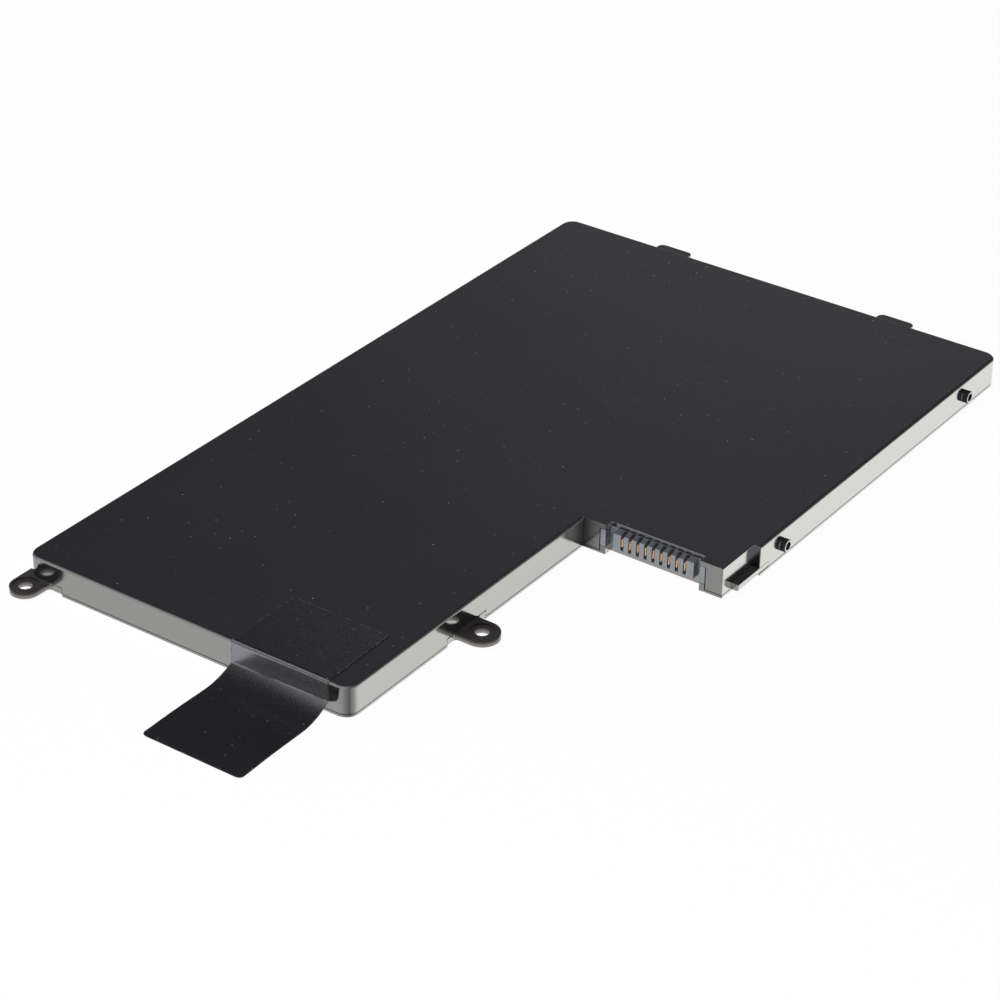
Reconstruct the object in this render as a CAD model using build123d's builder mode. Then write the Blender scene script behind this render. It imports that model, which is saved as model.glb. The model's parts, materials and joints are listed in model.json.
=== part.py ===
"""Flat laptop battery pack: a two-piece moulded case round three pouch cells, a circuit board
and a nine-way edge connector. Seen from above it is an L, with the connector in the inner wall
of the notch. The origin is the middle of the case rectangle on the underside, +Y towards the
back, +Z up. All sizes are in millimetres."""
import os

from build123d import *

os.makedirs("parts", exist_ok=True)

# Case, seen from above
case_width = 124.0
case_length = 204.8
case_height = 7.4
notch_width = 37.4
notch_length = 83.2
setback_depth = 1.8
setback_length = 12.4
corner_radius = 3.2
inner_corner_min = 0.3

# Case, in section
wall = 1.2
plate = 1.0
edge_round = 0.7
bay_edge_round = 0.25
cover_plate = 0.75
seam = 0.2
seam_depth = 0.35
rim_gap = 0.1
rim_wall = 0.8
rim_height = 1.2
fit_gap = 0.12

# Screw lugs
lug_hole = 3.15
lug_seat = 5.6
lug_seat_depth = 0.25
lug_under = 0.6
lug_top = 2.15
lug_root_round = 0.8
lug_edge_round = 0.2
front_lug_radius = 3.5
front_lug_x = 2.52
front_lug_reach = 3.4
front_lug_block = 9.7
notch_lug_radius = 4.0
notch_lug_y = 39.88
notch_lug_reach = 3.95
notch_lug_block = 13.6
lug_undercut = 0.8

# Rail beside the connector
rail_start = 3.9
rail_length = 12.1
rail_under = 0.45
rail_top = 2.0
rail_round = 0.6
cover_shoulder_gap = 0.4

# Pegs on the right wall and tongues on the back wall
peg_radius = 1.5
peg_reach = 1.4
peg_bore = 1.0
peg_bore_depth = 1.2
peg_chamfer = 0.15
peg_height = 3.5
peg_from_back = 16.4
peg_from_shoulder = 9.5
tongue_width = 9.6
tongue_reach = 2.9
tongue_top_drop = 0.65
tongue_thickness = 1.6
tongue_round = 1.5
first_tongue_x = 31.1
tongue_spacing = 63.9

# Connector
contact_count = 9
contact_pitch = 2.0
slot_width = 0.82
end_rib = 1.87
bay_width = 24.1
bay_depth = 2.2
ear_width = 1.3
ear_gap = 0.25
ear_top = 6.1
foot_top = 1.85
comb_setback = 0.4
comb_front_top = 5.75
comb_chamfer = 0.2
slot_floor = 2.2
slot_roof = 6.25
housing_depth = 5.6
housing_seam = 0.1

# Contacts
fork_width = 0.66
fork_strip = 0.15
fork_setback = 0.4
fork_length = 4.4
fork_base = 0.4
fork_bottom = 2.85
fork_top = 4.75
tail_width = 0.4
tail_strip = 0.2
tail_reach = 1.6
tail_foot = 1.2

# Cells
cell_thickness = 5.2
cell_between = 1.2
cell_corner = 2.0
cell_edge = 0.8
cell_gap = 0.3
terrace_length = 4.0
terrace_thickness = 0.3
tab_spacing = 30.0
tab_width = 6.0
tab_length = 3.3
tab_channel = 8.4
tab_thickness = 0.15
pad_thickness = 0.15
pad_margin = 5.0

# Strips that join the cells to the board
strip_thickness = 0.15
strip_margin = 0.3
sense_arm = 1.0
board_landing = 4.5
sense_landing = 3.0

# Circuit board
board_length = 16.5
board_thickness = 0.8
board_standoff = 0.4
board_gap = 0.3
board_side_gap = 1.6
post_radius = 1.5
pin_radius = 0.75
pin_proud = 0.35
pin_clearance = 0.1
post_inset_x = 9.0
post_inset_y = 4.0

# Chips on the board, each with its length, width and height
gauge_size = (7.8, 4.4, 1.1)
switch_size = (4.9, 3.9, 1.4)
fuse_size = (4.0, 3.0, 0.9)
sense_size = (6.3, 3.2, 0.6)
thermistor_size = (1.6, 0.8, 0.8)
gauge_left_of_bay = 17.0
charge_left_of_bay = 9.85
discharge_left_of_bay = 3.35
chip_row = 9.3
sense_along = 4.2
fuse_along = 10.8
power_row = 8.0
thermistor_inset = 4.8
thermistor_row = 13.5
chip_chamfer = 0.15
gauge_lead_count = 8
switch_lead_count = 4
lead_width = 0.4
lead_reach = 0.9
lead_height = 0.5

# Rows of small parts on the board
small_length = 1.6
small_width = 0.8
small_pitch = 3.0
capacitor_count = 5
capacitor_height = 0.8
capacitor_along = 17.0
capacitor_row = 15.0
resistor_count = 6
resistor_height = 0.45
resistor_along = 3.0
resistor_row = 3.0

# Stiffening ribs inside the top
rib_thickness = 0.8
rib_count = 4
rib_clearance = 0.25

# Pull tape
tape_width = 25.2
tape_left = 56.2
tape_on_top = 20.3
tape_free = 28.3
tape_thickness = 0.12
tape_lift = 2.2
tape_slope = 4.2
tape_crease = 0.4
tape_bend = 14.0
tape_corner = 1.2

# Places worked out from the sizes above
x_left = -case_width / 2
x_right = case_width / 2
y_front = -case_length / 2
y_back = case_length / 2
notch_x = x_right - notch_width
notch_y = y_front + notch_length
setback_x = x_right - setback_depth
shoulder_y = notch_y + setback_length
plate_under = case_height - plate
rim_inset = wall + rim_gap
inner_inset = rim_inset + rim_wall
bay_x = (notch_x + setback_x) / 2
bay_y = notch_y + bay_depth
ear_span = bay_width + 2 * ear_width
board_bottom = cover_plate + board_standoff
board_top = board_bottom + board_thickness
front_lug_center = (x_left + front_lug_x, y_front - front_lug_reach)
notch_lug_center = (notch_x + notch_lug_reach, y_front + notch_lug_y)
rail_y = notch_y + rail_start
rail_end = rail_y + rail_length
peg_places = [shoulder_y + peg_from_shoulder, y_back - peg_from_back]
tongue_places = [x_left + first_tongue_x, x_left + first_tongue_x + tongue_spacing]
cell_end = inner_inset + cell_gap
cell_width = (case_width - 2 * cell_end - cell_between) / 2
left_column = x_left + cell_end + cell_width / 2
right_column = x_right - cell_end - cell_width / 2
board_left = left_column + cell_width / 2 + board_side_gap
board_right = setback_x - inner_inset - board_gap
board_front = bay_y + rim_wall + board_gap
board_back = board_front + board_length
back_seal = board_back + board_gap + tab_length
front_seal = back_seal - tab_channel


def keep(piece, name):
    """Name a finished piece and write it out."""
    piece.part.label = name
    export_step(piece.part, f"parts/{name}.step")


def draw_case_plan(inset, shoulder):
    """Add the plan of the case, drawn in by inset, to the sketch being built."""
    with BuildLine() as plan:
        Polyline(
            (x_left + inset, y_front + inset),
            (notch_x - inset, y_front + inset),
            (notch_x - inset, notch_y + inset),
            (setback_x - inset, notch_y + inset),
            (setback_x - inset, shoulder + inset),
            (x_right - inset, shoulder + inset),
            (x_right - inset, y_back - inset),
            (x_left + inset, y_back - inset),
            close=True,
        )
    make_face(plan.edges())
    ends = vertices().group_by(Axis.Y)
    fillet(ends[0] + ends[-1], max(corner_radius - inset, inner_corner_min))


def draw_box(x_low, x_high, y_low, y_high, mode=Mode.ADD):
    """Add a rectangle between two pairs of edges to the sketch being built."""
    with Locations(((x_low + x_high) / 2, (y_low + y_high) / 2)):
        Rectangle(x_high - x_low, y_high - y_low, mode=mode)


def beside_bay(edge):
    """Tell whether an edge of the top belongs to the crisp stretch from the notch to the shoulder."""
    middle = edge.center()
    return middle.X > notch_x + corner_radius and notch_y - edge_round < middle.Y < shoulder_y + edge_round


# The wall is cut away round the lug blocks, the rail block and the connector
front_block = (x_left - front_lug_radius + front_lug_x, x_left + front_lug_block, y_front, y_front + inner_inset)
notch_block = (
    notch_x - inner_inset,
    notch_x,
    notch_lug_center[1] - notch_lug_block / 2,
    notch_lug_center[1] + notch_lug_block / 2,
)
rail_block = (setback_x - wall, x_right, rail_y, rail_end)

# Top case: a shallow tray, open below
with BuildPart() as top_case:
    with BuildSketch(Plane.XY.offset(cover_plate)):
        draw_case_plan(0, shoulder_y)
    extrude(amount=case_height - cover_plate)
    upper_edges = top_case.faces().sort_by(Axis.Z)[-1].edges()
    main_edges = [edge for edge in upper_edges if not beside_bay(edge)]
    fillet(main_edges, edge_round)
    upper_edges = top_case.faces().sort_by(Axis.Z)[-1].edges()
    fillet([edge for edge in upper_edges if beside_bay(edge)], bay_edge_round)
    with BuildSketch(Plane.XY.offset(cover_plate)):
        draw_case_plan(wall, shoulder_y)
    extrude(amount=plate_under - cover_plate, mode=Mode.SUBTRACT)
    # Seats for the two lug blocks
    with BuildSketch(Plane.XY.offset(cover_plate)):
        draw_box(x_left, front_block[1] + fit_gap, y_front, front_block[3] + fit_gap)
        draw_box(notch_block[0], notch_x, notch_block[2] - fit_gap, notch_block[3] + fit_gap)
    extrude(amount=lug_top + fit_gap - cover_plate, mode=Mode.SUBTRACT)
    # Seat for the rail block in the foot of the right wall
    with BuildSketch(Plane.XY.offset(cover_plate)):
        draw_box(rail_block[0], x_right, rail_y - fit_gap, rail_end + fit_gap)
    extrude(amount=rail_top + fit_gap - cover_plate, mode=Mode.SUBTRACT)
    # Window for the connector, and the top plate cut back over its comb
    with BuildSketch(Plane.XY.offset(cover_plate)):
        draw_box(bay_x - ear_span / 2 - ear_gap, bay_x + ear_span / 2 + ear_gap, notch_y, bay_y)
    extrude(amount=ear_top + fit_gap - cover_plate, mode=Mode.SUBTRACT)
    with BuildSketch(Plane.XY.offset(cover_plate)):
        draw_box(bay_x - bay_width / 2, bay_x + bay_width / 2, notch_y, bay_y)
    extrude(amount=case_height - cover_plate, mode=Mode.SUBTRACT)
    # Hollow pegs that locate the pack in the computer
    for peg_y in peg_places:
        with BuildSketch(Plane((x_right, peg_y, peg_height), x_dir=(0, 1, 0), z_dir=(1, 0, 0))):
            Circle(peg_radius)
        extrude(amount=peg_reach)
        rims = top_case.faces().sort_by(Axis.X)[-1].edges()
        chamfer(rims, peg_chamfer)
        with BuildSketch(Plane((x_right + peg_reach, peg_y, peg_height), x_dir=(0, 1, 0), z_dir=(1, 0, 0))):
            Circle(peg_bore)
        extrude(amount=-peg_bore_depth, mode=Mode.SUBTRACT)
    # Tongues that hook under the frame at the back
    with BuildSketch(Plane.XY.offset(case_height - tongue_top_drop)):
        for tongue_x in tongue_places:
            draw_box(
                tongue_x - tongue_width / 2, tongue_x + tongue_width / 2, y_back - wall, y_back + tongue_reach
            )
        fillet(vertices().group_by(Axis.Y)[-1], tongue_round)
    extrude(amount=-tongue_thickness)
    # Ribs that stiffen the empty strip beside the front cell
    strip_x = left_column + cell_width / 2 + cell_gap
    strip_back = bay_y - cell_gap
    with BuildSketch(Plane.XY.offset(plate_under)):
        draw_box(strip_x, strip_x + rib_thickness, y_front + wall, strip_back)
        for k in range(rib_count):
            rib_y = y_front + wall + (k + 1) * (strip_back - y_front - wall) / (rib_count + 1)
            draw_box(strip_x, notch_x - wall, rib_y - rib_thickness / 2, rib_y + rib_thickness / 2)
    extrude(amount=-(plate_under - lug_top - rib_clearance))
keep(top_case, "top_case")

# Bottom cover: a plate with a shadow seam, a rim inside the walls, and the fixings
cover_shoulder = shoulder_y + cover_shoulder_gap
bay_left = bay_x - bay_width / 2
bay_right = bay_x + bay_width / 2
ear_left = bay_x - ear_span / 2
ear_right = bay_x + ear_span / 2
post_columns = (board_left + post_inset_x, board_right - post_inset_x)
pin_places = [(x, board_back - post_inset_y) for x in post_columns]
post_places = pin_places + [(x, board_front + post_inset_y) for x in post_columns]

with BuildPart() as bottom_cover:
    with BuildSketch():
        draw_case_plan(0, cover_shoulder)
    extrude(amount=cover_plate - seam)
    with BuildSketch(Plane.XY.offset(cover_plate - seam)):
        draw_case_plan(seam_depth, cover_shoulder)
    extrude(amount=seam)
    with BuildSketch(Plane.XY.offset(cover_plate)):
        draw_case_plan(rim_inset, shoulder_y)
    extrude(amount=rim_height)
    with BuildSketch(Plane.XY.offset(cover_plate)):
        draw_case_plan(inner_inset, shoulder_y)
    extrude(amount=rim_height, mode=Mode.SUBTRACT)
    # The rim gives way to the connector, and the plate is cut back between its ears
    with BuildSketch(Plane.XY.offset(cover_plate)):
        draw_box(ear_left, ear_right, notch_y, bay_y + rim_wall)
    extrude(amount=rim_height, mode=Mode.SUBTRACT)
    with BuildSketch():
        draw_box(bay_left, bay_right, notch_y, bay_y)
    extrude(amount=cover_plate, mode=Mode.SUBTRACT)
    # Low wall behind the cut, with a foot under each ear
    with BuildSketch():
        draw_box(ear_left, ear_right, bay_y, bay_y + rim_wall)
        draw_box(ear_left, bay_left, notch_y, bay_y)
        draw_box(bay_right, ear_right, notch_y, bay_y)
    extrude(amount=foot_top)
    # Lug at the front corner, and lug on the wall of the notch
    with BuildSketch(Plane.XY.offset(lug_under)):
        draw_box(*front_block)
        draw_box(front_block[0], front_block[0] + 2 * front_lug_radius, front_lug_center[1], y_front)
        draw_box(*notch_block)
        draw_box(
            notch_x,
            notch_lug_center[0],
            notch_lug_center[1] - notch_lug_radius,
            notch_lug_center[1] + notch_lug_radius,
        )
        with Locations(front_lug_center):
            Circle(front_lug_radius)
        with Locations(notch_lug_center):
            Circle(notch_lug_radius)
        roots = [
            (front_block[0] + 2 * front_lug_radius, y_front),
            (notch_x, notch_lug_center[1] - notch_lug_radius),
            (notch_x, notch_lug_center[1] + notch_lug_radius),
        ]
        fillet([vertices().sort_by_distance(root)[0] for root in roots], lug_root_round)
    extrude(amount=lug_top - lug_under)
    lug_rims = [
        bottom_cover.edges().sort_by_distance((*tip, lug_top))[0]
        for tip in (
            (front_lug_center[0], front_lug_center[1] - front_lug_radius),
            (notch_lug_center[0] + notch_lug_radius, notch_lug_center[1]),
        )
    ]
    fillet(lug_rims, lug_edge_round)
    with BuildSketch():
        draw_box(front_block[0], front_block[1], y_front, y_front + lug_undercut)
        draw_box(notch_x - lug_undercut, notch_x, notch_block[2], notch_block[3])
    extrude(amount=lug_under, mode=Mode.SUBTRACT)
    with Locations(
        (*front_lug_center, lug_top),
        (*notch_lug_center, lug_top),
    ):
        CounterBoreHole(lug_hole / 2, lug_seat / 2, lug_seat_depth)
    # Rail that carries on the foot of the right wall past its shoulder
    with BuildSketch(Plane((0, rail_y, 0), x_dir=(1, 0, 0), z_dir=(0, -1, 0))):
        with Locations(((rail_block[0] + x_right) / 2, (rail_under + rail_top) / 2)):
            Rectangle(x_right - rail_block[0], rail_top - rail_under)
        fillet(vertices().group_by(Axis.X)[-1].sort_by(Axis.Y)[0], rail_round)
    extrude(amount=-rail_length)
    # Posts that hold the board up, two of them with pins
    with BuildSketch(Plane.XY.offset(cover_plate)):
        with Locations(*post_places):
            Circle(post_radius)
    extrude(amount=board_standoff)
    with BuildSketch(Plane.XY.offset(board_bottom)):
        with Locations(*pin_places):
            Circle(pin_radius)
    extrude(amount=board_thickness + pin_proud)
keep(bottom_cover, "bottom_cover")

# Connector housing: a body under the top plate, a comb of ribs in front, an ear at each end
housing_top = plate_under - housing_seam
comb_front = notch_y + comb_setback
comb_span = (contact_count - 1) * contact_pitch + slot_width + 2 * end_rib
slot_places = [bay_x + (k - (contact_count - 1) / 2) * contact_pitch for k in range(contact_count)]
housing_back = bay_y + housing_depth
with BuildPart() as connector_housing:
    with BuildSketch(Plane.XY.offset(board_top)):
        draw_box(ear_left, ear_right, bay_y, housing_back)
    extrude(amount=housing_top - board_top)
    with BuildSketch(Plane.YZ.offset(bay_x - comb_span / 2)):
        with BuildLine():
            Polyline(
                (comb_front, board_top),
                (bay_y, board_top),
                (bay_y, housing_top),
                (comb_front + comb_chamfer, comb_front_top),
                (comb_front, comb_front_top - comb_chamfer),
                close=True,
            )
        make_face()
    extrude(amount=comb_span)
    with BuildSketch(Plane.XY.offset(board_top)):
        draw_box(ear_left, bay_left, notch_y, bay_y)
        draw_box(bay_right, ear_right, notch_y, bay_y)
    extrude(amount=ear_top - board_top)
    with BuildSketch(Plane.XY.offset(slot_floor)):
        for slot_x in slot_places:
            draw_box(slot_x - slot_width / 2, slot_x + slot_width / 2, comb_front, housing_back)
    extrude(amount=slot_roof - slot_floor, mode=Mode.SUBTRACT)
keep(connector_housing, "connector_housing")

# Fork contacts, one in each slot, soldered to the board behind the housing
fork_front = comb_front + fork_setback
fork_back = fork_front + fork_length
tail_end = housing_back + tail_reach
for k, slot_x in enumerate(slot_places):
    with BuildPart() as contact:
        with BuildSketch(Plane.XY.offset(fork_bottom)):
            draw_box(slot_x - fork_width / 2, slot_x - fork_width / 2 + fork_strip, fork_front, fork_back)
            draw_box(slot_x + fork_width / 2 - fork_strip, slot_x + fork_width / 2, fork_front, fork_back)
            draw_box(slot_x - fork_width / 2, slot_x + fork_width / 2, fork_back - fork_base, fork_back)
        extrude(amount=fork_top - fork_bottom)
        with BuildSketch(Plane.YZ.offset(slot_x - tail_width / 2)):
            with BuildLine():
                Polyline(
                    (fork_back - fork_base, slot_floor),
                    (tail_end - tail_foot, slot_floor),
                    (tail_end - tail_foot, board_top),
                    (tail_end, board_top),
                    (tail_end, board_top + tail_strip),
                    (tail_end - tail_foot + tail_strip, board_top + tail_strip),
                    (tail_end - tail_foot + tail_strip, slot_floor + tail_strip),
                    (fork_back, slot_floor + tail_strip),
                    (fork_back, fork_bottom),
                    (fork_back - fork_base, fork_bottom),
                    close=True,
                )
            make_face()
        extrude(amount=tail_width)
    keep(contact, f"contact_{k + 1}")

# Circuit board on its posts
with BuildPart() as circuit_board:
    with BuildSketch(Plane.XY.offset(board_bottom)):
        draw_box(board_left, board_right, board_front, board_back)
        with Locations(*pin_places):
            Circle(pin_radius + pin_clearance, mode=Mode.SUBTRACT)
    extrude(amount=board_thickness)
keep(circuit_board, "circuit_board")

# Chips and switches, with leads along two sides where they have them
chips = {
    "gauge_chip": (bay_x - gauge_left_of_bay, chip_row, gauge_size, gauge_lead_count),
    "charge_switch": (bay_x - charge_left_of_bay, chip_row, switch_size, switch_lead_count),
    "discharge_switch": (bay_x - discharge_left_of_bay, chip_row, switch_size, switch_lead_count),
    "fuse": (board_left + fuse_along, power_row, fuse_size, 0),
    "sense_resistor": (board_left + sense_along, power_row, sense_size, 0),
    "thermistor": (board_right - thermistor_inset, thermistor_row, thermistor_size, 0),
}
for name, (chip_x, row, (length, width, height), leads) in chips.items():
    chip_y = board_front + row
    with BuildPart() as chip:
        with BuildSketch(Plane((chip_x, chip_y, board_top))):
            Rectangle(length, width)
        extrude(amount=height)
        chamfer(chip.faces().sort_by(Axis.Z)[-1].edges(), chip_chamfer)
        if leads:
            with BuildSketch(Plane((chip_x, chip_y, board_top))):
                with GridLocations(length / leads, 1, leads, 1):
                    Rectangle(lead_width, width + 2 * lead_reach)
            extrude(amount=lead_height)
    keep(chip, name)

# Rows of small chip parts
for name, along, row, count, height in (
    ("capacitors", capacitor_along, capacitor_row, capacitor_count, capacitor_height),
    ("resistors", resistor_along, resistor_row, resistor_count, resistor_height),
):
    with BuildPart() as small_parts:
        with BuildSketch(Plane((board_left + along, board_front + row, board_top))):
            with Locations(*[(k * small_pitch, 0) for k in range(count)]):
                Rectangle(small_length, small_width)
        extrude(amount=height)
    keep(small_parts, name)

# Pouch cells. In each cell's own plane the tabs leave at y = 0 and the body runs towards +y
cell_bottom = cover_plate + pad_thickness
tab_top = board_top
tab_bottom = tab_top - tab_thickness
terrace_bottom = (tab_top + tab_bottom - terrace_thickness) / 2
front_length = front_seal - y_front - cell_end
back_length = y_back - cell_end - back_seal
cell_frames = [
    (left_column, front_seal, -1, front_length),
    (left_column, back_seal, 1, back_length),
    (right_column, back_seal, 1, back_length),
]
for k, (cell_x, seal_y, way, cell_length) in enumerate(cell_frames):
    body_middle = (terrace_length + cell_length) / 2
    body_length = cell_length - terrace_length
    with BuildPart() as cell:
        with BuildSketch(Plane((cell_x, seal_y, cell_bottom), x_dir=(way, 0, 0))):
            with Locations((0, body_middle)):
                RectangleRounded(cell_width, body_length, cell_corner)
        extrude(amount=cell_thickness)
        rims = cell.edges().group_by(Axis.Z)
        chamfer(rims[0] + rims[-1], cell_edge)
        with BuildSketch(Plane((cell_x, seal_y, terrace_bottom), x_dir=(way, 0, 0))):
            draw_box(-cell_width / 2 + cell_corner, cell_width / 2 - cell_corner, 0, body_middle)
        extrude(amount=terrace_thickness)
    keep(cell, f"cell_{k + 1}")
    for side, pole in ((1, "positive"), (-1, "negative")):
        with BuildPart() as tab:
            with BuildSketch(Plane((cell_x, seal_y, tab_bottom), x_dir=(way, 0, 0))):
                middle = side * tab_spacing / 2
                draw_box(middle - tab_width / 2, middle + tab_width / 2, -tab_length, 0)
            extrude(amount=tab_thickness)
        keep(tab, f"cell_{k + 1}_{pole}_tab")
    with BuildPart() as pad:
        with BuildSketch(Plane((cell_x, seal_y, cover_plate), x_dir=(way, 0, 0))):
            with Locations((0, body_middle)):
                Rectangle(cell_width - 2 * pad_margin, body_length - 2 * pad_margin)
        extrude(amount=pad_thickness)
    keep(pad, f"cell_{k + 1}_pad")

# Nickel strips that put the cells in series and reach the board
far_tab = left_column - tab_spacing / 2
near_tab = left_column + tab_spacing / 2
third_negative = right_column - tab_spacing / 2
third_positive = right_column + tab_spacing / 2
channel_middle = (front_seal + back_seal) / 2
half_strip = tab_width / 2 - strip_margin
front_strip = (front_seal + strip_margin, front_seal + tab_length - strip_margin)
back_strip = (back_seal - tab_length + strip_margin, back_seal - strip_margin)
landing_x = board_left + board_landing
strips = {
    "link_1_2": [
        (far_tab - half_strip, far_tab + half_strip, front_strip[0], back_strip[1]),
        (far_tab, board_left + sense_landing, channel_middle - sense_arm / 2, channel_middle + sense_arm / 2),
    ],
    "link_2_3": [
        (near_tab - half_strip, third_negative + half_strip, *back_strip),
        (landing_x + sense_landing, landing_x + 2 * sense_landing, board_back - sense_landing, back_strip[0]),
    ],
    "negative_lead": [(near_tab - half_strip, landing_x, *front_strip)],
    "positive_lead": [
        (third_positive - half_strip, third_positive + half_strip, board_back - sense_landing, back_strip[1])
    ],
}
for name, runs in strips.items():
    with BuildPart() as strip:
        with BuildSketch(Plane.XY.offset(tab_top)):
            for run in runs:
                draw_box(*run)
        extrude(amount=strip_thickness)
    keep(strip, name)

# Pull tape: over the top edge, down the front wall and out along the table
tape_x = x_left + tape_left
with BuildPart() as pull_tape:
    with BuildSketch(Plane.YZ.offset(tape_x)):
        with BuildLine():
            FilletPolyline(
                (y_front + tape_on_top, case_height + tape_thickness / 2),
                (y_front - tape_thickness / 2, case_height + tape_thickness / 2),
                (y_front - tape_thickness / 2, tape_lift),
                (y_front - tape_slope, tape_thickness / 2),
                (y_front - tape_free, tape_thickness / 2),
                radius=[edge_round + tape_thickness / 2, tape_crease, tape_bend],
            )
        trace(line_width=tape_thickness)
    extrude(amount=tape_width)
    free_corners = pull_tape.edges().filter_by(Axis.Z).group_by(Axis.Y)[0]
    fillet(free_corners, tape_corner)
keep(pull_tape, "pull_tape")
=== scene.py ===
"""Looks of the flat laptop battery pack: black plastic, gilt contacts, pull tape, white studio floor."""

import json
import math

import bpy
import numpy as np
from mathutils import Matrix, Vector


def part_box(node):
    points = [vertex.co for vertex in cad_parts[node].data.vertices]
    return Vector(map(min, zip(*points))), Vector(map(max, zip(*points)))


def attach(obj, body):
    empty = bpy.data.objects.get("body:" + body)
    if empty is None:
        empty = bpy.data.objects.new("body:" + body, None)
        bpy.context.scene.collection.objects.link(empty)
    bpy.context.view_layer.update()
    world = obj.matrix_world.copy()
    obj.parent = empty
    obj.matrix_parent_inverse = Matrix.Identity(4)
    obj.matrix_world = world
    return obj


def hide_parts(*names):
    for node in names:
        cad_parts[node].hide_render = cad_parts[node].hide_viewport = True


MM = 0.001

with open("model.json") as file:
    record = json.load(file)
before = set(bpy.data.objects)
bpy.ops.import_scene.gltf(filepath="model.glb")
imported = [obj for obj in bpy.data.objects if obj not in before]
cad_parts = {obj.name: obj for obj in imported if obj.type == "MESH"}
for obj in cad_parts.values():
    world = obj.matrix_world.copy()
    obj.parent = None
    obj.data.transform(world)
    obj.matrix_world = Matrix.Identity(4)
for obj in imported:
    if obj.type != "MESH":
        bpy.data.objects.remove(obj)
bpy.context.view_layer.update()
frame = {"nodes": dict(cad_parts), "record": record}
nodes = frame["nodes"]
scene = bpy.context.scene

# Places on the case in metres: its front and right walls, the two walls of the notch, and its top
notch_room = 0.3 * MM
notch_low, notch_high = frame["record"]["physics"]["openings"][0]["box_m"]
front_y = notch_low[1]
right_x = notch_high[0]
notch_x = notch_low[0] - notch_room
notch_y = notch_high[1] + notch_room
case_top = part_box("top_case")[1].z


# Colour and shader helpers
def srgb(code):
    """Linear RGBA of an sRGB hex colour."""
    values = np.array([int(code[k:k + 2], 16) for k in (0, 2, 4)]) / 255
    linear = np.where(values <= 0.04045, values / 12.92, ((values + 0.055) / 1.055) ** 2.4)
    return (*linear.tolist(), 1.0)


SMOOTH = {"interpolation_type": "SMOOTHSTEP"}
COLOURS = {"data_type": "RGBA"}
TIMES = {"operation": "MULTIPLY"}


def add(tree, kind, *inputs, stops=(), **settings):
    """A shader node: its settings are made, the (place, hex colour) stops of a colour ramp are laid out,
    and its inputs in turn are set to a value or linked to a socket. Returns its first output."""
    node = tree.nodes.new("ShaderNode" + kind)
    for name, value in settings.items():
        setattr(node, name, value)
    for place, code in stops[1:-1]:
        node.color_ramp.elements.new(place).color = srgb(code)
    for end in (0, -1) if stops else ():
        element = node.color_ramp.elements[end]
        element.position, element.color = stops[end][0], srgb(stops[end][1])
    for socket, value in zip([entry for entry in node.inputs if entry.enabled], inputs):
        if isinstance(value, bpy.types.NodeSocket):
            tree.links.new(value, socket)
        else:
            socket.default_value = value
    return next((entry for entry in node.outputs if entry.enabled), None)


def start(name):
    """A new material: its tree, the inputs of its Principled shader and its texture coordinates."""
    material = bpy.data.materials.new(name)
    material.use_nodes = True
    tree = material.node_tree
    return material, tree, tree.nodes["Principled BSDF"].inputs, add(tree, "TexCoord").node.outputs


def specks(tree, place, pitch, radius, share):
    """Round specks of dust on a level face, one in a share of the cells of this pitch, some fainter."""
    cells = add(tree, "TexVoronoi", place, 1 / (pitch * MM), voronoi_dimensions="2D").node.outputs
    near = add(tree, "MapRange", cells["Distance"], radius / pitch, 0.4 * radius / pitch, **SMOOTH)
    pick = add(tree, "SeparateColor", cells["Color"]).node.outputs
    kept = add(tree, "Math", near, add(tree, "Math", pick[0], share, operation="LESS_THAN"), **TIMES)
    return add(tree, "Math", kept, add(tree, "Math", pick[1], 4.0, operation="POWER"), **TIMES)


def inside(tree, value, low, high):
    """1 where value lies between two limits, 0 outside, with ends softened over a tenth of a millimetre."""
    soft = 0.05 * MM
    above = add(tree, "MapRange", value, low - soft, low + soft, **SMOOTH)
    below = add(tree, "MapRange", value, high - soft, high + soft, 1.0, 0.0, **SMOOTH)
    return add(tree, "Math", above, below, **TIMES)


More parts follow.
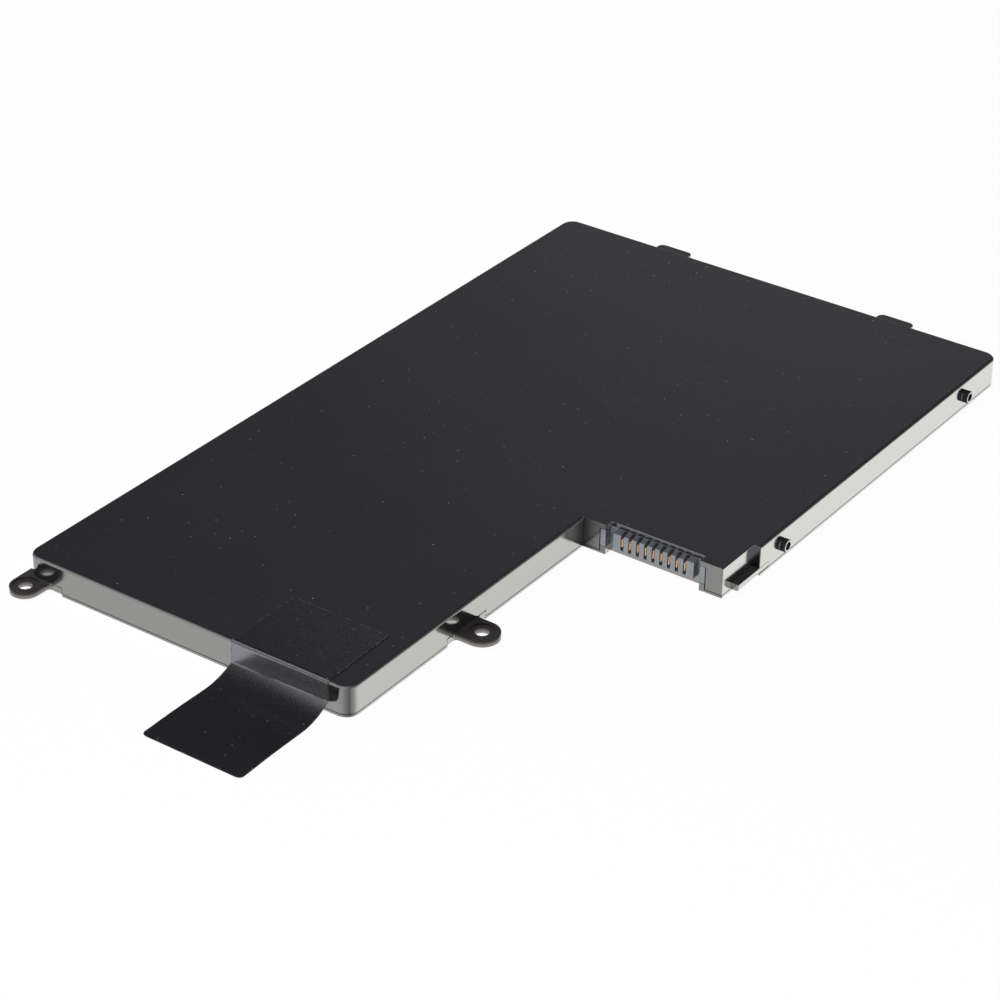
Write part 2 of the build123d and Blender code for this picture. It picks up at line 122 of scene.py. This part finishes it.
# Materials
def polished_black(name, upper, lower, walls, roughness, metal=1.0, turn=(0.97, 0.3), dust=(4.0, 0.2, 0.5),
                   zones=None):
    """Black plastic with satin level faces in two near shades under fine dust, and side walls that
    mirror the white floor in greys that depend on which way they face, a painted reflection. roughness
    holds that of the level faces and that of the walls. turn holds how far up a face looks where
    the first begins to pass into the second and where it has done so. dust holds the pitch and
    radius of the specks in millimetres and the share of the cells that have one."""
    cloud_size, grain_size = 35.0 * MM, 0.35 * MM
    satin, polish = roughness
    material, tree, shader, coords = start(name)
    shader["Specular IOR Level"].default_value = 0.19
    normal = add(tree, "SeparateXYZ", coords["Normal"]).node.outputs
    place = add(tree, "SeparateXYZ", coords["Object"]).node.outputs
    level = add(tree, "Math", normal[2], operation="ABSOLUTE")
    side = add(tree, "MapRange", level, *turn, **SMOOTH)
    upright = add(tree, "MapRange", level, 0.35, 0.02, **SMOOTH)
    # Painted reflection: the grey the walls mirror is set by which way each wall faces
    mirror = add(tree, "ValToRGB", add(tree, "Math", normal[0], operation="ABSOLUTE"), stops=walls)
    cloud = add(tree, "TexNoise", coords["Object"], 1 / cloud_size)
    grain = add(tree, "TexNoise", coords["Object"], 1 / grain_size)
    half_cloud, half_grain = (add(tree, "Math", part, 0.5, **TIMES) for part in (cloud, grain))
    shade = add(tree, "Math", half_cloud, half_grain, operation="ADD")
    shade = add(tree, "MapRange", shade, 0.3, 0.7, **SMOOTH)
    top = add(tree, "Mix", shade, srgb(lower), srgb(upper), **COLOURS)
    if zones:
        top, mirror = zones(tree, normal, place, top, mirror)
    top = add(tree, "Mix", specks(tree, coords["Object"], *dust), top, srgb("7c7c80"), **COLOURS)
    tree.links.new(add(tree, "Mix", side, top, mirror, **COLOURS), shader["Base Color"])
    tree.links.new(add(tree, "Math", side, metal, **TIMES), shader["Metallic"])
    satin = add(tree, "MapRange", grain, 0.3, 0.7, satin - 0.04, satin + 0.04, **SMOOTH)
    polish = add(tree, "MapRange", cloud, 0.3, 0.7, polish - 0.02, polish + 0.02, **SMOOTH)
    tree.links.new(add(tree, "Mix", upright, satin, polish), shader["Roughness"])
    return material


def case_zones(tree, normal, place, top, mirror):
    """Painted shade: the lugs and the rail lie in shade and are painted darker than the top. Painted
    reflection: the right wall mirrors more light; the corner of the notch, the recesses beside the
    connector, the lugs and the pegs mirror less."""
    x, y, z = place
    lug_top = 2.3 * MM
    # Painted shade: level faces below the lug tops, on the lugs and the rail, take a shade of their own
    above_lugs = add(tree, "MapRange", z, lug_top, lug_top + 0.3 * MM, **SMOOTH)
    top = add(tree, "Mix", above_lugs, srgb("2a2728"), top, **COLOURS)

    # Painted reflection: the right wall is given a brighter mirror grey
    facing_right = add(tree, "MapRange", normal[0], 0.9, 0.98, **SMOOTH)
    beside_right = add(tree, "MapRange", x, right_x - 22 * MM, right_x - 4 * MM, **SMOOTH)
    right_wall_painted_reflection = add(tree, "Math", facing_right, beside_right, **TIMES)
    mirror = add(tree, "Mix", right_wall_painted_reflection, mirror, srgb("d6d7d1"), **COLOURS)

    # Painted shade and reflection: the back wall of the notch is darkest in its corner, lightens away from
    # it, and mirrors a painted grey on its right arm
    past_corner = add(tree, "MapRange", x, notch_x - 0.15 * MM, notch_x - 0.05 * MM, **SMOOTH)
    at_notch_back = inside(tree, y, notch_y - 0.1 * MM, notch_y + 0.1 * MM)
    notch_back = add(tree, "Math", at_notch_back, past_corner, **TIMES)
    from_corner = add(tree, "MapRange", x, notch_x, notch_x + 4.4 * MM, **SMOOTH)
    corner = add(tree, "ValToRGB", from_corner, stops=[(0, "3c3c3e"), (1, "7a7a7c")])
    arm = add(tree, "MapRange", x, right_x - 17 * MM, right_x - 6 * MM, **SMOOTH)
    notch_painted_shade = add(tree, "Mix", arm, corner, srgb("858584"), **COLOURS)
    mirror = add(tree, "Mix", notch_back, mirror, notch_painted_shade, **COLOURS)

    # Painted shade: front-facing walls in the recesses beside the connector mirror a darker grey
    facing_front = add(tree, "MapRange", normal[1], -0.5, -0.9, **SMOOTH)
    behind_notch = inside(tree, y, notch_y + 0.2 * MM, notch_y + 12.7 * MM)
    below_top = inside(tree, z, 2.2 * MM, case_top - 0.1 * MM)
    recess_painted_shade = add(tree, "Math", add(tree, "Math", behind_notch, below_top, **TIMES), facing_front, **TIMES)
    mirror = add(tree, "Mix", recess_painted_shade, mirror, srgb("626268"), **COLOURS)

    # Painted reflection and shade: the sides of the lugs mirror a grey that is light at the bottom and dark
    # at the top
    front_lug = add(tree, "MapRange", y, front_y - 0.02 * MM, front_y - 0.15 * MM, **SMOOTH)
    in_notch = add(tree, "MapRange", y, notch_y - 0.1 * MM, notch_y - 0.3 * MM, **SMOOTH)
    off_notch_wall = add(tree, "MapRange", x, notch_x + 0.05 * MM, notch_x + 0.2 * MM, **SMOOTH)
    notch_lug = add(tree, "Math", off_notch_wall, in_notch, **TIMES)
    lugs = add(tree, "Math", front_lug, notch_lug, operation="MAXIMUM")
    up_lug = add(tree, "MapRange", z, 0.5 * MM, 2.0 * MM, **SMOOTH)
    lug_side_painted_shade = add(tree, "ValToRGB", up_lug, stops=[(0, "928e8a"), (0.5, "76736f"), (1, "343234")])
    mirror = add(tree, "Mix", lugs, mirror, lug_side_painted_shade, **COLOURS)

    # Painted shade: the sides of the pegs mirror a dark grey
    past_wall = add(tree, "MapRange", x, right_x + 0.02 * MM, right_x + 0.1 * MM, **SMOOTH)
    peg_side = add(tree, "MapRange", normal[0], 0.9, 0.6, **SMOOTH)
    peg_painted_shade = add(tree, "Math", past_wall, peg_side, **TIMES)
    return top, add(tree, "Mix", peg_painted_shade, mirror, srgb("2c2c30"), **COLOURS)


def speckled(name, low, high, size, roughness, metallic=0.0):
    """A material of two near colours and a slightly uneven gloss, in soft noise of one grain size in
    millimetres."""
    spread = 0.06
    material, tree, shader, coords = start(name)
    shader["Metallic"].default_value = metallic
    grain = add(tree, "TexNoise", coords["Object"], 1 / (size * MM))
    share = add(tree, "MapRange", grain, 0.3, 0.7, **SMOOTH)
    gloss = add(tree, "MapRange", grain, 0.3, 0.7, roughness - spread, roughness + spread, **SMOOTH)
    tree.links.new(add(tree, "Mix", share, srgb(low), srgb(high), **COLOURS), shader["Base Color"])
    tree.links.new(gloss, shader["Roughness"])
    return material


def tape_film():
    """Thin black polyester film: as glossy as the case walls where it hangs, a little smoother than
    the case top where it lies, with pale lint caught along its sticky edges."""
    lint_size = 1.2 * MM
    material = polished_black("black_polyester_film", "17161c", "131218", [(0, "82828a"), (1, "82828a")],
                              (0.3, 0.25), metal=0.87, turn=(0.8, 0.15), dust=(3.5, 0.2, 0.6))
    tree = material.node_tree
    shader = tree.nodes["Principled BSDF"].inputs
    shader["Specular IOR Level"].default_value = 0.4
    plain = shader["Base Color"].links[0].from_socket
    metal = shader["Metallic"].links[0].from_socket
    coords = add(tree, "TexCoord").node.outputs
    margin = add(tree, "Attribute", attribute_name="edge_mm").node.outputs["Fac"]
    tufts = add(tree, "TexNoise", coords["Object"], 1 / lint_size)
    tufts = add(tree, "MapRange", tufts, 0.42, 0.62, **SMOOTH)
    lint = add(tree, "Math", add(tree, "MapRange", margin, 0.3, 0.05, **SMOOTH), tufts, **TIMES)
    cut = add(tree, "MapRange", margin, 0.03, 0.01, **SMOOTH)
    uncut = add(tree, "Math", 1.0, cut, operation="SUBTRACT")
    linted = add(tree, "Mix", lint, plain, srgb("48484c"), **COLOURS)
    tree.links.new(add(tree, "Mix", cut, linted, srgb("232327"), **COLOURS), shader["Base Color"])
    tree.links.new(add(tree, "Math", metal, uncut, **TIMES), shader["Metallic"])
    return material


# Black moulded plastic of the case: satin dark top, polished walls whose painted reflections are lighter or
# darker by facing
plastic = polished_black(
    "black_moulded_plastic", "18161f", "14121b",
    [(0, "929290"), (0.35, "86868a"), (0.75, "565658"), (0.92, "8a8b85"), (1, "bdbeb8")],
    (0.7, 0.13), zones=case_zones,
)
# Blue-black plastic of the connector: rib fronts mirror a lighter painted grey, slot side walls a darker
# painted grey so the slots stay dark
housing = polished_black(
    "blue_black_plastic", "4a4c55", "40424a",
    [(0, "84888d"), (0.5, "84888d"), (0.7, "5e616a"), (1, "5e616a")], (0.4, 0.2), metal=0.5,
)
# Gilt spring bronze: warm metal glints deep in the slots
gilt = speckled("gilt_bronze", "f2c48a", "ffdaac", 0.6, 0.35, metallic=0.2)
film = tape_film()
# Laminated foil of the pouch cells: dull silver with slight cloudiness
foil = speckled("laminated_foil", "a9abaf", "b9bbbe", 8.0, 0.38, metallic=0.8)
# Rolled aluminium: bright silver strip
aluminium = speckled("rolled_aluminium", "c9cacc", "d8d9da", 0.8, 0.32, metallic=1.0)
# Rolled nickel: slightly warm silver strip
nickel = speckled("rolled_nickel", "b3aea4", "c4bfb5", 0.8, 0.3, metallic=1.0)
# Double-sided adhesive: off-white, matt
adhesive = speckled("double_sided_adhesive", "d6d5cf", "e2e1dc", 1.5, 0.7)
# Green solder resist over glass laminate: glossy green with darker weave
laminate = speckled("green_solder_resist", "0d3b22", "155031", 0.9, 0.28)
# Moulded epoxy of the chips: charcoal, matt
epoxy = speckled("moulded_epoxy", "1e1e20", "29292b", 0.4, 0.55)
# Fired ceramic of the small parts: tan, slightly glossy
ceramic = speckled("fired_ceramic", "8a6c50", "9d7f61", 0.5, 0.4)

by_slot = {
    "case_plastic": plastic,
    "cover_plastic": plastic,
    "housing_plastic": housing,
    "contact_gilt": gilt,
    "tape_film": film,
    "cell_pouch": foil,
    "tab_aluminium": aluminium,
    "strip_nickel": nickel,
    "pad_adhesive": adhesive,
    "board_laminate": laminate,
    "chip_epoxy": epoxy,
    "chip_ceramic": ceramic,
}
for entry in frame["record"]["subparts"]:
    mesh = nodes[entry["node"]].data
    mesh.materials.clear()
    mesh.materials.append(by_slot[entry["material_slot"]])


# Pull tape
def tape_surface(steps=240, across=40):
    """A strip of film: its middle line runs level on the top, turns over the front edge, drops down
    the wall to a crease, leaves it at a slope that flattens as a square law, and lies along the table
    with a faint swell; the crease is lower at the left edge than at the right. The line is carried
    across the width, half a thickness to either side, and the two free corners are quarter rounds.
    Returns the vertices, the faces, the distance from the edge in millimetres and the length."""
    low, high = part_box("pull_tape")
    half = 0.06 * MM
    front = front_y - half
    level = case_top + half
    turn = 0.76 * MM
    sag = 8.3 * MM
    crease_left, crease_right = 2.0 * MM, 2.6 * MM
    swell_height = 0.12 * MM
    corner = 1.2 * MM
    left_gap = 0.05 * MM
    spread = 0.6 * MM
    u = np.linspace(0, 1, across)
    crease = (crease_left + (crease_right - crease_left) * u)[None, :]
    arc = np.linspace(0, math.pi / 2, 16)[:, None]
    start_y = np.full((1, across), high.y)
    over_y = np.broadcast_to(front + turn - turn * np.sin(arc), (16, across))
    over_z = np.broadcast_to(level - turn + turn * np.cos(arc), (16, across))
    out = np.linspace(0, front - low.y, 160)[:, None]
    fall = crease * np.clip(1 - out / sag, 0, 1) ** 2
    rest = np.clip((out - sag) / (front - low.y - sag), 0, 1)
    swell = swell_height * np.sin(math.pi * rest) ** 2
    out_y = np.broadcast_to(front - out, (160, across))
    line_y = np.concatenate([start_y, over_y, out_y])
    line_z = np.concatenate([np.full((1, across), level), over_z, half + fall + swell])
    pieces = np.hypot(np.diff(line_y, axis=0), np.diff(line_z, axis=0))
    along = np.concatenate([np.zeros((1, across)), np.cumsum(pieces, axis=0)])
    total = float(along[-1].mean())
    t = np.linspace(0, 1, steps)
    share = along / along[-1]
    y = np.stack([np.interp(t, share[:, k], line_y[:, k]) for k in range(across)], 1)
    z = np.stack([np.interp(t, share[:, k], line_z[:, k]) for k in range(across)], 1)
    slope_y = np.gradient(y, axis=0)
    slope_z = np.gradient(z, axis=0)
    size = np.hypot(slope_y, slope_z)
    normal_y = slope_z / size
    normal_z = -slope_y / size
    s = t * total
    past = np.clip(s - (total - corner), 0, corner)
    inset = corner - np.sqrt(corner ** 2 - past ** 2)
    left = low.x + left_gap + inset
    right = high.x + spread * (t - 0.5) - inset
    x = left[:, None] + (right - left)[:, None] * u
    upper_and_under = [np.stack([x, y + way * half * normal_y, z + way * half * normal_z], -1).reshape(-1, 3)
                       for way in (1, -1)]
    from_sides = np.minimum(x - left[:, None], right[:, None] - x)
    margin = np.minimum(from_sides, np.minimum(s, total - s)[:, None]) / MM
    index = np.arange(steps * across).reshape(steps, across)
    upper = np.stack([index[:-1, :-1], index[1:, :-1], index[1:, 1:], index[:-1, 1:]], -1).reshape(-1, 4)
    under = upper[:, ::-1] + steps * across
    rim = np.concatenate([index[0, :-1], index[:-1, -1], index[-1, :0:-1], index[:0:-1, 0]])
    after = np.roll(rim, -1)
    edge = np.stack([rim, after, after + steps * across, rim + steps * across], -1)
    faces = np.concatenate([upper, under, edge])
    return np.concatenate(upper_and_under), faces, np.tile(margin.ravel(), 2), total


def make_piece(name, vertices, faces, material):
    """A mesh object at the origin from vertices and faces, smooth, with one material."""
    mesh = bpy.data.meshes.new(name)
    mesh.from_pydata(vertices.tolist(), [], faces.tolist())
    mesh.update()
    mesh.shade_smooth()
    mesh.set_sharp_from_angle(angle=math.radians(50))
    mesh.materials.append(material)
    piece = bpy.data.objects.new(name, mesh)
    scene.collection.objects.link(piece)
    return piece


points, quads, edge_mm, tape_length = tape_surface()
tape = make_piece("pull_tape_sheet", points, quads, film)
tape.data.attributes.new("edge_mm", "FLOAT", "POINT").data.foreach_set("value", edge_mm.astype(np.float32))
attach(tape, "root")
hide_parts("pull_tape")

# Floor and light
floor_mesh = bpy.data.meshes.new("studio_floor")
reach = 6.0
corners = [(-reach, -reach, 0), (reach, -reach, 0), (reach, reach, 0), (-reach, reach, 0)]
floor_mesh.from_pydata(corners, [], [(0, 1, 2, 3)])
floor = bpy.data.objects.new("studio_floor", floor_mesh)
floor.location.z = -0.05 * MM
scene.collection.objects.link(floor)
white = bpy.data.materials.new("studio_white")
white.use_nodes = True
tree = white.node_tree
tree.nodes.clear()
path = add(tree, "LightPath").node.outputs
mirrored = add(tree, "Math", path["Is Glossy Ray"], path["Is Transmission Ray"], operation="MAXIMUM")
seen = add(tree, "Math", path["Is Camera Ray"], mirrored, operation="MAXIMUM")
white_share = add(tree, "Math", seen, 0.95, **TIMES)
lit = add(tree, "BsdfDiffuse", srgb("f2f2f2"))
glow = add(tree, "Emission", (1, 1, 1, 1), 1.0)
add(tree, "OutputMaterial", add(tree, "MixShader", white_share, lit, glow))
floor_mesh.materials.append(white)


def area_light(name, place, target, width, watts):
    """A square soft box at one place, turned to a target; its place and width are in metres."""
    data = bpy.data.lights.new(name, "AREA")
    data.size = width
    data.energy = watts
    light = bpy.data.objects.new(name, data)
    light.location = place
    light.rotation_euler = (Vector(target) - Vector(place)).to_track_quat("-Z", "Y").to_euler()
    scene.collection.objects.link(light)


area_light("soft_box_left", (-0.76, -0.78, 1.31), (0, 0, 0), 0.9, 18.0)
area_light("soft_box_front", (0.45, -0.65, 0.5), (0, 0, 0), 0.4, 6.0)
area_light("soft_box_back", (-0.73, 1.51, 0.35), (0, 0, 0), 0.5, 7.0)

world = bpy.data.worlds.new("studio_surround")
scene.world = world
world.use_nodes = True
tree = world.node_tree
height = add(tree, "SeparateXYZ", add(tree, "TexCoord").node.outputs["Generated"]).node.outputs[2]
low_down = add(tree, "MapRange", height, 0.35, 0.05, **SMOOTH)
surround = add(tree, "Mix", low_down, srgb("595a5c"), srgb("cbcbcb"), **COLOURS)
tree.links.new(surround, tree.nodes["Background"].inputs[0])

# Camera: turned by azimuth and elevation in degrees, then rolled, with its focal length in millimetres
camera_place = (0.34176, -0.50709, 0.35817)
focal_length = 112.53
azimuth, elevation, roll = (math.radians(a) for a in (34.829, 30.810, 1.058))
forward = (-math.sin(azimuth), math.cos(azimuth))
ahead = Vector((*(math.cos(elevation) * part for part in forward), -math.sin(elevation)))
level_right = Vector((math.cos(azimuth), math.sin(azimuth), 0))
level_up = level_right.cross(ahead)
right = math.cos(roll) * level_right + math.sin(roll) * level_up
up = math.cos(roll) * level_up - math.sin(roll) * level_right
lens = bpy.data.cameras.new("camera")
lens.sensor_width = 36.0
lens.lens = focal_length
lens.clip_start = 0.01
lens.clip_end = 50.0
camera = bpy.data.objects.new("camera", lens)
camera_pose = Matrix((right, up, -ahead)).transposed().to_4x4()
camera_pose.translation = camera_place
camera.matrix_world = camera_pose
scene.collection.objects.link(camera)
scene.camera = camera

scene.view_settings.view_transform = "Standard"
